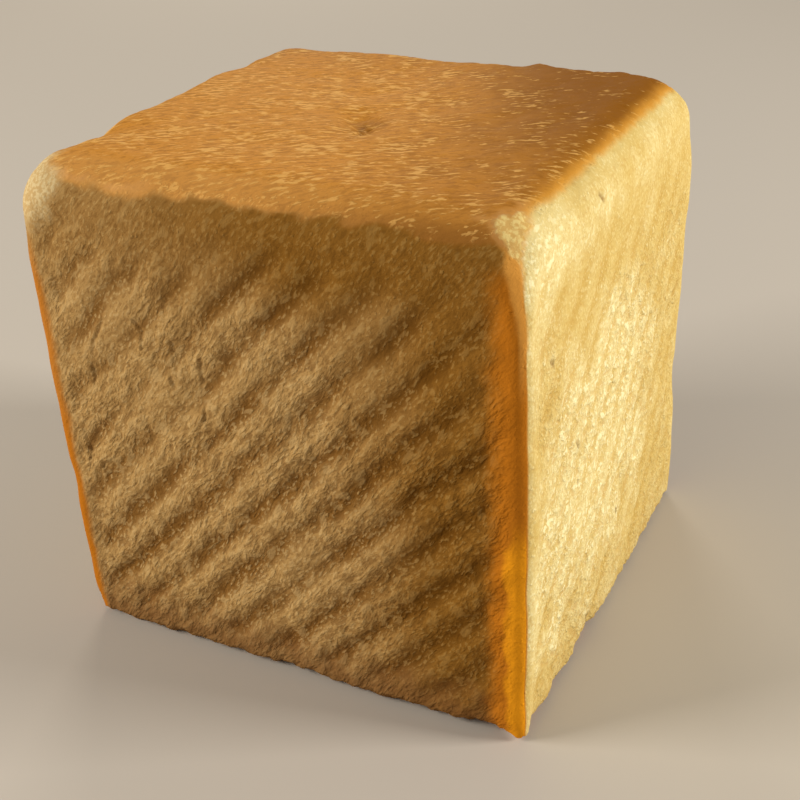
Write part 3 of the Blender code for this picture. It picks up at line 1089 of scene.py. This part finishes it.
@dataclass
class Nodes:
    """Places and joins shader nodes in one tree."""

    tree: bpy.types.NodeTree

    def add(self, kind: str, **settings: object) -> bpy.types.Node:
        """A node of a kind, with its properties set."""
        node = self.tree.nodes.new(kind)
        for name, value in settings.items():
            setattr(node, name, value)
        return node

    def feed(self, socket: Socket, value: object) -> None:
        """Joins a socket to an output, or sets it to a number or a colour."""
        if isinstance(value, Socket):
            self.tree.links.new(value, socket)
        elif isinstance(value, tuple) and len(value) == 3 and socket.type == "RGBA":
            socket.default_value = (*value, 1.0)
        else:
            socket.default_value = value

    def math(self, operation: str, a: object, b: object = 0.0) -> Socket:
        """The result of an operation on two values."""
        node = self.add("ShaderNodeMath", operation=operation)
        self.feed(node.inputs[0], a)
        self.feed(node.inputs[1], b)
        return node.outputs[0]

    def times(self, a: object, b: object) -> Socket:
        """The product of two values."""
        return self.math("MULTIPLY", a, b)

    def plus(self, a: object, b: object) -> Socket:
        """The sum of two values."""
        return self.math("ADD", a, b)

    def most(self, a: object, b: object) -> Socket:
        """The greater of two values."""
        return self.math("MAXIMUM", a, b)

    def step(self, value: object, low: float, high: float, end: float = 1.0) -> Socket:
        """A soft step of a value, from 0 at low to end at high."""
        node = self.add("ShaderNodeMapRange", interpolation_type="SMOOTHSTEP")
        for socket, given in zip(node.inputs, (value, low, high, 0.0, end)):
            self.feed(socket, given)
        return node.outputs[0]

    def blend(self, share: object, a: object, b: object) -> Socket:
        """Two colours mixed by a share."""
        node = self.add("ShaderNodeMix", data_type="RGBA")
        self.feed(node.inputs["Factor"], share)
        colours = [socket for socket in node.inputs if socket.type == "RGBA"]
        self.feed(colours[0], a)
        self.feed(colours[1], b)
        return next(socket for socket in node.outputs if socket.type == "RGBA")

    def mask(self, mask: Mask) -> Socket:
        """One of the mesh's own masks."""
        return self.add("ShaderNodeAttribute", attribute_name=mask.value).outputs["Fac"]

    def stretched(self, vector: Socket, scale: tuple[float, float, float]) -> Socket:
        """Places scaled by a number for each axis."""
        node = self.add("ShaderNodeMapping")
        self.feed(node.inputs["Vector"], vector)
        node.inputs["Scale"].default_value = scale
        return node.outputs[0]

    def noise(self, vector: Socket, scale: float, detail: float, rough: float = 0.5) -> Socket:
        """Noise at a scale, from 0 to 1."""
        node = self.add("ShaderNodeTexNoise")
        self.feed(node.inputs["Vector"], vector)
        node.inputs["Scale"].default_value = scale
        node.inputs["Detail"].default_value = detail
        node.inputs["Roughness"].default_value = rough
        return node.outputs["Fac"]

    def centred(self, value: Socket) -> Socket:
        """A noise moved to swing about 0."""
        return self.math("SUBTRACT", value, 0.5)

    def warped(
        self, vector: Socket, place: Socket, scale: float, reach: float
    ) -> Socket:
        """Places pushed about by noise.

        Args:
            vector: the places to push.
            place: where the noise is read.
            scale: the noise's scale.
            reach: how far it pushes.
        Returns:
            The pushed places.
        """
        node = self.add("ShaderNodeTexNoise")
        self.feed(node.inputs["Vector"], place)
        node.inputs["Scale"].default_value = scale
        node.inputs["Detail"].default_value = 1.0
        push = self.add("ShaderNodeVectorMath", operation="SUBTRACT")
        self.feed(push.inputs[0], node.outputs["Color"])
        push.inputs[1].default_value = (0.5, 0.5, 0.5)
        moved = self.add("ShaderNodeVectorMath", operation="MULTIPLY_ADD")
        self.feed(moved.inputs[0], push.outputs[0])
        moved.inputs[1].default_value = (reach, reach, reach)
        self.feed(moved.inputs[2], vector)
        return moved.outputs[0]

    def grouped(
        self, group: bpy.types.NodeTree, vector: Socket, **values: float
    ) -> bpy.types.NodeOutputs:
        """A shared node group with its own values; returns its outputs."""
        node = self.add("ShaderNodeGroup", node_tree=group)
        self.feed(node.inputs["Vector"], vector)
        for name, value in values.items():
            node.inputs[name].default_value = value
        return node.outputs

    def spots(self, vector: Socket, scale: float, radius: float, share: float) -> Socket:
        """Scattered round spots.

        Args:
            vector: the places.
            scale: how many cells lie in a unit, each with one spot at most.
            radius: a spot's radius as a share of its cell.
            share: the share of the cells that have a spot.
        Returns:
            1 in the spots and 0 between them.
        """
        node = self.add("ShaderNodeTexVoronoi")
        self.feed(node.inputs["Vector"], vector)
        node.inputs["Scale"].default_value = scale
        dot = self.step(node.outputs["Distance"], radius, radius * 0.4)
        split = self.add("ShaderNodeSeparateColor")
        self.feed(split.inputs[0], node.outputs["Color"])
        chosen = self.math("LESS_THAN", split.outputs[0], share)
        return self.math("MULTIPLY", dot, chosen)


@dataclass(frozen=True)
class GrainGroup:
    """The shared crust grain: uneven lumps with pits between them, drawn out along the first axis."""

    name: str = "crust grain"
    detail: float = 2.0
    rough: float = 0.6
    cell_share: float = 0.40

    def build(self) -> bpy.types.NodeTree:
        """Makes the group, with the size of the lumps and their stretch as its inputs."""
        tree = bpy.data.node_groups.new(self.name, "ShaderNodeTree")
        for label, kind in (("Vector", "Vector"), ("Size", "Float"), ("Stretch", "Float")):
            tree.interface.new_socket(name=label, in_out="INPUT", socket_type=f"NodeSocket{kind}")
        for label in ("Height", "Pit", "Fleck"):
            tree.interface.new_socket(name=label, in_out="OUTPUT", socket_type="NodeSocketFloat")
        nodes = Nodes(tree)
        given = nodes.add("NodeGroupInput").outputs
        scale = nodes.add("ShaderNodeCombineXYZ")
        across = nodes.math("DIVIDE", 1.0, given["Size"])
        nodes.feed(scale.inputs[0], nodes.math("DIVIDE", across, given["Stretch"]))
        nodes.feed(scale.inputs[1], across)
        nodes.feed(scale.inputs[2], across)
        scaled = nodes.add("ShaderNodeVectorMath", operation="MULTIPLY")
        nodes.feed(scaled.inputs[0], given["Vector"])
        nodes.feed(scaled.inputs[1], scale.outputs[0])
        lumps = nodes.noise(scaled.outputs[0], 1.0, self.detail, self.rough)
        cells = nodes.add("ShaderNodeTexVoronoi")
        nodes.feed(cells.inputs["Vector"], scaled.outputs[0])
        cells.inputs["Scale"].default_value = 0.75
        domes = nodes.times(nodes.centred(cells.outputs["Distance"]), -self.cell_share)
        lumps = nodes.plus(lumps, domes)
        result = nodes.add("NodeGroupOutput")
        nodes.feed(result.inputs["Height"], nodes.step(lumps, 0.25, 0.80))
        # Pit marks the grain's hollows for painted shade, Fleck its lumps for painted highlights.
        nodes.feed(result.inputs["Pit"], nodes.step(lumps, 0.41, 0.33))
        nodes.feed(result.inputs["Fleck"], nodes.step(lumps, 0.56, 0.68))
        return tree


@dataclass(frozen=True)
class SidePalette:
    """The colours of one kind of side crust: groove darker, partly browning and partly painted shade; fleck a
    painted highlight on the grain's lumps; pit painted shade in its creases.
    """

    rib: Colour
    groove: Colour
    fleck_highlight: Colour
    pit_shade: Colour


@dataclass(frozen=True)
class Grain:
    """The crust's shader textures, shared by its colours and its relief."""

    straight: Socket
    coarse: bpy.types.NodeOutputs
    fine: bpy.types.NodeOutputs
    speck: Socket
    mottle: Socket
    glint_dots: Socket


@dataclass(frozen=True)
class CrustFinish:
    """Baked crust: golden brown on top, beige to cream on the sides, the cream partly painted light, browned
    at the upright corners.

    Attributes:
        shaded, bright: the plain colours of the shaded sides, with painted shade, and of the lit right side,
            with painted light; both are partly the crust's own browning.
        hazed, golden: the deeper colours of the same two.
        warp: the scale and the reach of the noise that bends the grain.
        coarse, fine: the size of each grain's lumps, in millimetres, and their stretch.
        large_dots, small_dots: the scale, radius and share of each kind of pale dot, a painted highlight on a
            tiny lump.
        streaks: how the grain is drawn out into the top's pale streaks, painted glints.
        The fields whose names end in share: how strongly each thing shows.
    """

    shaded: SidePalette = SidePalette(
        rib=linear(181, 143, 88), groove=linear(133, 93, 43),
        fleck_highlight=linear(216, 184, 128), pit_shade=linear(112, 72, 28),
    )
    bright: SidePalette = SidePalette(
        rib=linear(222, 203, 142), groove=linear(212, 185, 116),
        fleck_highlight=linear(246, 236, 188), pit_shade=linear(200, 158, 92),
    )
    hazed: SidePalette = SidePalette(
        rib=linear(137, 94, 35), groove=linear(110, 71, 20),
        fleck_highlight=linear(176, 138, 76), pit_shade=linear(98, 62, 18),
    )
    golden: SidePalette = SidePalette(
        rib=linear(206, 177, 105), groove=linear(197, 164, 90),
        fleck_highlight=linear(228, 208, 144), pit_shade=linear(186, 144, 76),
    )
    top: Colour = linear(200, 136, 53)
    top_dark: Colour = linear(138, 86, 22)
    top_glint: Colour = linear(236, 184, 104)
    peach: Colour = linear(214, 160, 96)
    apricot: Colour = linear(222, 156, 70)
    edge: Colour = linear(186, 112, 26)
    edge_lit: Colour = linear(238, 156, 28)
    rim: Colour = linear(222, 158, 62)
    rim_pale: Colour = linear(236, 186, 104)
    bare: Colour = linear(218, 194, 144)
    bare_dark: Colour = linear(194, 156, 98)
    torn: Colour = linear(228, 200, 128)
    torn_dark: Colour = linear(202, 154, 82)
    foot: Colour = linear(128, 88, 48)
    crack: Colour = linear(104, 60, 20)
    roughness_side: float = 0.85
    roughness_top: float = 0.66
    specular: float = 0.03
    grain_height: float = 0.00027
    warp: tuple[float, float] = (130.0, 1.6)
    coarse: tuple[float, float] = (1.50, 2.2)
    fine: tuple[float, float] = (0.55, 2.3)
    speck_scale: float = 1500.0
    mottle_scale: float = 140.0
    large_dots: tuple[float, float, float] = (520.0, 0.30, 0.45)
    small_dots: tuple[float, float, float] = (900.0, 0.34, 0.45)
    small_dots_share: float = 0.75
    streaks: tuple[float, float, float] = (0.36, 1.15, 1.0)
    # The crease shares set painted shade in the grain's creases; the fleck and dot shares set painted
    # highlights.
    coarse_crease_share: float = 0.43
    fine_crease_share: float = 0.38
    fine_fleck_share: float = 0.42
    coarse_fleck_share: float = 0.3
    bright_fleck_share: float = 0.75
    side_dots_share: float = 0.36
    bright_dots_share: float = 0.90
    foot_share: float = 0.80
    crack_share: float = 0.6
    streak_dark_share: float = 0.45
    speck_dark_share: float = 0.30
    streak_glint_share: float = 0.56
    top_dots_share: float = 0.45
    rim_share: float = 0.85

    def material(self) -> bpy.types.Material:
        """The finish as a material."""
        made = bpy.data.materials.new("baked crust")
        made.use_nodes = True
        nodes = Nodes(made.node_tree)
        shader = made.node_tree.nodes["Principled BSDF"]
        grain = self.grain(nodes)
        sides = self.side_colour(nodes, grain)
        top, streak = self.top_colour(nodes, grain)
        nodes.feed(shader.inputs["Base Color"], nodes.blend(nodes.mask(Mask.BROWNED), sides, top))
        rough = nodes.step(nodes.mask(Mask.BROWNED), 0.0, 1.0, self.roughness_side - self.roughness_top)
        nodes.feed(shader.inputs["Roughness"], nodes.math("SUBTRACT", self.roughness_side, rough))
        shader.inputs["Specular IOR Level"].default_value = self.specular
        self.add_bump(nodes, shader, grain, streak)
        return made

    def grain(self, nodes: Nodes) -> Grain:
        """The textures that the colours and the relief share."""
        place = nodes.add("ShaderNodeTexCoord").outputs["Object"]
        straight = nodes.add("ShaderNodeUVMap", uv_map="grain").outputs[0]
        warped = nodes.warped(straight, place, *self.warp)
        group = GrainGroup().build()
        grains = (self.coarse, self.fine)
        coarse, fine = (nodes.grouped(group, warped, Size=size, Stretch=stretch) for size, stretch in grains)
        speck = nodes.noise(place, self.speck_scale, 2.0)
        mottle = nodes.noise(place, self.mottle_scale, 3.0)
        # Pale dots: painted highlights on tiny lumps, which the bump also raises.
        large = nodes.times(nodes.spots(place, *self.large_dots), nodes.step(mottle, 0.46, 0.56))
        small = nodes.times(nodes.spots(place, *self.small_dots), self.small_dots_share)
        glint_dots = nodes.times(nodes.most(large, small), nodes.step(speck, 0.34, 0.56))
        return Grain(straight, coarse, fine, speck, mottle, glint_dots)

    def side_colour(self, nodes: Nodes, grain: Grain) -> Socket:
        """The colour of the side crust, with its grooves, flecks, pits and browned corners."""
        grooved, deep, cream_and_lit = (nodes.mask(mask) for mask in (Mask.GROOVED, Mask.HAZED, Mask.CREAM_AND_LIT))
        # Darker grooves: partly crust browned harder against the tin's ribs, partly painted shade in the
        # grooves.
        ragged = nodes.plus(grooved, nodes.times(nodes.centred(grain.mottle), 0.6))
        groove = nodes.times(nodes.step(ragged, 0.05, 1.0), nodes.step(grooved, 0.0, 0.4))
        # Painted shade in the creases of the wrinkles and the grain.
        wrinkled = nodes.step(nodes.mask(Mask.WRINKLED), 0.0, 0.8, self.coarse_crease_share)
        crease = nodes.times(grain.coarse["Pit"], wrinkled)
        crease = nodes.most(crease, nodes.times(grain.fine["Pit"], self.fine_crease_share))
        crease = nodes.times(crease, nodes.step(nodes.mask(Mask.TOPPED), 0.6, 0.0))
        # Painted highlights on the grain's lumps and its pale dots, more of them where the lit right side is
        # paler.
        fine_fleck = nodes.times(grain.fine["Fleck"], self.fine_fleck_share)
        fleck_highlight = nodes.most(fine_fleck, nodes.times(grain.coarse["Fleck"], self.coarse_fleck_share))
        lit_flecks = nodes.times(grain.coarse["Fleck"], nodes.step(deep, 1.1, 0.0, self.bright_fleck_share))
        bright_fleck = nodes.most(nodes.most(fleck_highlight, lit_flecks), nodes.times(grain.glint_dots, self.bright_dots_share))
        fleck_highlight = nodes.most(fleck_highlight, nodes.times(grain.glint_dots, self.side_dots_share))
        share = nodes.step(deep, 0.0, 1.05)
        pairs = ((self.shaded, self.hazed, fleck_highlight), (self.bright, self.golden, bright_fleck))
        shaded, bright = (self.crust_colour(nodes, *pair, share, groove, crease) for pair in pairs)
        # Painted light and shade: the right side in its paler lit palette, the others in the shaded one.
        colour = nodes.blend(cream_and_lit, shaded, bright)
        # Darker towards the base: painted shade, partly a browner foot.
        colour = nodes.blend(nodes.times(nodes.mask(Mask.FOOTED), self.foot_share), colour, self.foot)
        # The browned upright corners, paler on the lit right side, with painted light where the near corner's
        # round turns to the key lamp.
        edged = nodes.mask(Mask.EDGED)
        edge = nodes.blend(cream_and_lit, self.edge, self.apricot)
        colour = nodes.blend(nodes.step(edged, 0.0, 0.7), colour, edge)
        colour = nodes.blend(nodes.step(edged, 0.75, 1.0), colour, self.edge_lit)
        # Painted light on the rounded front edge; peach too at the near corner and the torn patch's border.
        colour = nodes.blend(nodes.mask(Mask.PEACH_AND_LIT), colour, self.apricot)
        return self.bared_and_split(nodes, grain, colour)

    @staticmethod
    def crust_colour(
        nodes: Nodes,
        plain: SidePalette,
        deep: SidePalette,
        flecks: Socket,
        share: Socket,
        groove: Socket,
        crease: Socket,
    ) -> Socket:
        """One kind of side crust, from its plain palette to its deeper one by a share."""
        tones = []
        for palette in (plain, deep):
            colour = nodes.blend(groove, palette.rib, palette.groove)
            colour = nodes.blend(crease, colour, palette.pit_shade)
            tones.append(nodes.blend(flecks, colour, palette.fleck_highlight))
        return nodes.blend(share, *tones)

    def bared_and_split(self, nodes: Nodes, grain: Grain, colour: Socket) -> Socket:
        """A crust's colour with its bare places laid over: pale, or golden where torn, and its splits."""
        share = nodes.step(grain.speck, 0.60, 0.42, 0.7)
        bare = nodes.blend(share, self.bare, self.bare_dark)
        torn = nodes.blend(share, self.torn, self.torn_dark)
        bare = nodes.blend(nodes.step(nodes.mask(Mask.HAZED), 0.5, 1.0), bare, torn)
        colour = nodes.blend(nodes.mask(Mask.BARED), colour, bare)
        # Painted shade in the splits and the navel's hole.
        return nodes.blend(nodes.times(nodes.mask(Mask.CRACKED), self.crack_share), colour, self.crack)

    def top_colour(self, nodes: Nodes, grain: Grain) -> tuple[Socket, Socket]:
        """The colour of the top crust, with painted glints in its pale streaks and dots, and the mask of
        those streaks.
        """
        mottle, deep, topped = nodes.centred(grain.mottle), nodes.mask(Mask.HAZED), nodes.mask(Mask.TOPPED)
        streak = nodes.noise(nodes.stretched(grain.straight, self.streaks), 1.0, 2.0, 0.62)
        level = nodes.math("SUBTRACT", nodes.plus(streak, nodes.times(mottle, 0.50)), nodes.times(deep, 0.07))
        pale = nodes.times(nodes.step(level, 0.53, 0.62), nodes.step(topped, 0.1, 0.8))
        dark = nodes.step(nodes.plus(deep, nodes.times(mottle, 0.5)), 0.0, 1.1)
        streak_dark = nodes.times(nodes.step(streak, 0.50, 0.36), self.streak_dark_share)
        speck_dark = nodes.times(nodes.step(grain.speck, 0.45, 0.28), self.speck_dark_share)
        colour = self.top
        for share in (dark, streak_dark, speck_dark):
            colour = nodes.blend(share, colour, self.top_dark)
        # Painted light: the rounded front edge paler peach.
        colour = nodes.blend(nodes.mask(Mask.PEACH_AND_LIT), colour, self.peach)
        glint_dots = nodes.times(grain.glint_dots, nodes.step(topped, 1.0, 0.0, self.top_dots_share))
        # Painted glints: the top's pale streaks and dots.
        for share in (nodes.times(pale, self.streak_glint_share), glint_dots):
            colour = nodes.blend(share, colour, self.top_glint)
        # The lit right side's rim takes the paler colour, part of its painted light.
        rim = nodes.blend(nodes.step(nodes.mask(Mask.CREAM_AND_LIT), 0.5, 0.9), self.rim_pale, self.rim)
        colour = nodes.blend(nodes.times(nodes.mask(Mask.RIMMED), self.rim_share), colour, rim)
        return self.bared_and_split(nodes, grain, colour), pale

    def add_bump(self, nodes: Nodes, shader: bpy.types.Node, grain: Grain, streak: Socket) -> None:
        """Adds the relief that is finer than the mesh."""
        wrinkled = nodes.step(nodes.mask(Mask.WRINKLED), 0.0, 0.9)
        share = nodes.plus(nodes.times(wrinkled, 0.26), 0.16)
        side = nodes.times(grain.coarse["Height"], wrinkled)
        side = nodes.plus(side, nodes.times(grain.fine["Height"], share))
        side = nodes.plus(side, nodes.times(grain.speck, 0.24))
        side = nodes.plus(side, nodes.times(grain.glint_dots, 0.30))
        top = nodes.plus(nodes.times(streak, 0.30), nodes.times(grain.speck, 0.40))
        node = nodes.add("ShaderNodeMix", data_type="FLOAT")
        for socket, value in zip((node.inputs[0], *node.inputs[2:4]), (nodes.mask(Mask.TOPPED), side, top)):
            nodes.feed(socket, value)
        bump = nodes.add("ShaderNodeBump")
        bump.inputs["Strength"].default_value = 1.0
        bump.inputs["Distance"].default_value = self.grain_height
        nodes.feed(bump.inputs["Height"], node.outputs[0])
        nodes.feed(shader.inputs["Normal"], bump.outputs[0])


@dataclass(frozen=True)
class AreaLamp:
    """A soft square lamp that points at the loaf's middle."""

    name: str
    place: tuple[float, float, float]
    size: float
    power: float
    colour: Colour = (1.0, 1.0, 1.0)

    def build(self, target: Vector) -> None:
        """Makes the lamp, pointed at the target."""
        data = bpy.data.lights.new(self.name, "AREA")
        data.size = self.size
        data.energy = self.power
        data.color = self.colour
        lamp = bpy.data.objects.new(self.name, data)
        lamp.location = self.place
        lamp.rotation_euler = (target - Vector(self.place)).to_track_quat("-Z", "Y").to_euler()
        bpy.context.scene.collection.objects.link(lamp)


@dataclass
class Studio:
    """A plain pale floor, soft lamps and an even surrounding light."""

    floor_size: float = 30.0
    floor_colour: Colour = linear(188, 180, 170)
    surround_colour: Colour = (1.0, 0.95, 0.88)
    surround_strength: float = 0.24
    lamps: tuple[AreaLamp, ...] = (
        AreaLamp("key lamp", (0.92, 0.26, 0.40), 0.30, 10.6, (1.0, 0.97, 0.90)),
        AreaLamp("fill lamp", (-0.80, -0.55, 0.50), 0.45, 10.5, (1.0, 0.95, 0.86)),
        AreaLamp("rim lamp", (-0.60, 1.00, 0.60), 0.40, 4.6, (1.0, 0.93, 0.80)),
    )

    def build(self, target: Vector) -> None:
        """Makes the floor, the lamps and the surrounding light."""
        bm = bmesh.new()
        bmesh.ops.create_grid(bm, x_segments=1, y_segments=1, size=self.floor_size / 2)
        mesh = bpy.data.meshes.new("floor")
        bm.to_mesh(mesh)
        bm.free()
        material = bpy.data.materials.new("pale floor")
        material.use_nodes = True
        shader = material.node_tree.nodes["Principled BSDF"]
        shader.inputs["Base Color"].default_value = (*self.floor_colour, 1.0)
        shader.inputs["Roughness"].default_value = 0.9
        shader.inputs["Specular IOR Level"].default_value = 0.1
        mesh.materials.append(material)
        floor = bpy.data.objects.new("floor", mesh)
        bpy.context.scene.collection.objects.link(floor)
        for lamp in self.lamps:
            lamp.build(target)
        world = bpy.data.worlds.new("studio")
        world.use_nodes = True
        surround = world.node_tree.nodes["Background"]
        surround.inputs["Color"].default_value = (*self.surround_colour, 1.0)
        surround.inputs["Strength"].default_value = self.surround_strength
        bpy.context.scene.world = world
        bpy.context.scene.view_settings.view_transform = "Standard"
        log.info("studio: %d lamps", len(self.lamps))


@dataclass(frozen=True)
class ViewCamera:
    """The camera at the photograph's viewing angle, looking down at the near upright corner."""

    place: tuple[float, float, float] = (0.11014, -0.20079, 0.16590)
    right: tuple[float, float, float] = (0.8919, 0.4498, -0.0463)
    up: tuple[float, float, float] = (-0.1831, 0.4530, 0.8725)
    back: tuple[float, float, float] = (0.4134, -0.7697, 0.4864)
    lens: float = 54.64
    sensor: float = 36.0

    def build(self) -> None:
        """Makes the camera and looks through it."""
        data = bpy.data.cameras.new("view camera")
        data.lens = self.lens
        data.sensor_width = self.sensor
        data.clip_start = 0.01
        camera = bpy.data.objects.new("view camera", data)
        turn = Matrix((self.right, self.up, self.back)).transposed().to_quaternion()
        camera.matrix_world = Matrix.Translation(self.place) @ turn.to_matrix().to_4x4()
        bpy.context.scene.collection.objects.link(camera)
        bpy.context.scene.camera = camera


def main() -> None:
    """Builds the camera, the studio and the loaf's crust, and logs the studio's lamps and the crust's faces.
    """
    ViewCamera().build()
    Studio().build((CAD_BOX[0] + CAD_BOX[1]) / 2)
    crust = LoafCrust().build("loaf_crust", CrustFinish().material())
    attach(crust, "root")
    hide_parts("loaf")


if __name__ == "__main__":
    main()
